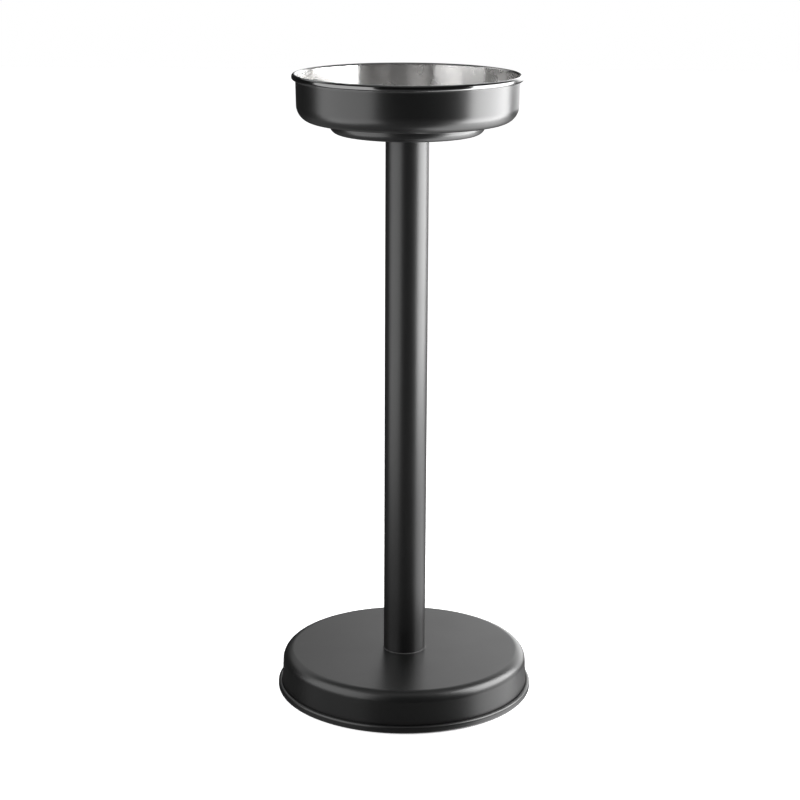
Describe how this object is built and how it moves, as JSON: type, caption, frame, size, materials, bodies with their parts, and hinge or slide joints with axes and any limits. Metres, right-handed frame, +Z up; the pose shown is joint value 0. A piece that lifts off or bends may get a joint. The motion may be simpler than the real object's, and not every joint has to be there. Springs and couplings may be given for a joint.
{
  "type": "wine bucket stand",
  "caption": "Pedestal floor stand: a shallow rimmed bowl with a sunken well holds a wine bucket, on a round tube column and a weighted round base.",
  "frame": {"origin": "on the floor, on the stand's vertical axis, at the centre of the floor pad's underside", "axes": "+Z up along the column; the stand is round, so +X and +Y are free; the picture looks along +Y"},
  "size_m": [0.2446, 0.2446, 0.593],
  "materials": {
    "black_coating": "satin black powder coat",
    "polished_inside": "mirror-polished stainless steel inside the bowl",
    "zinc_plate": "bright zinc plate",
    "plain_steel": "turned, oiled",
    "seal_rubber": "matt",
    "black_nylon": "matt",
    "cast_ballast": "as cast, oiled",
    "plate_coating": "thin black paint",
    "pad_foam": "matt closed-cell foam"
  },
  "bodies": {
    "root": {"bucket_holder": "black_coating", "holder_bolt": "zinc_plate", "holder_washer": "zinc_plate", "holder_seal_washer": "seal_rubber", "upper_plug": "plain_steel", "column_tube": "black_coating", "lower_plug": "plain_steel", "column_gasket": "black_nylon", "base_cover": "black_coating", "ballast_disc": "cast_ballast", "base_washer": "zinc_plate", "base_spring_washer": "zinc_plate", "base_bolt": "zinc_plate", "bottom_plate": "plate_coating", "floor_pad": "pad_foam"}
  },
  "joints": []
}
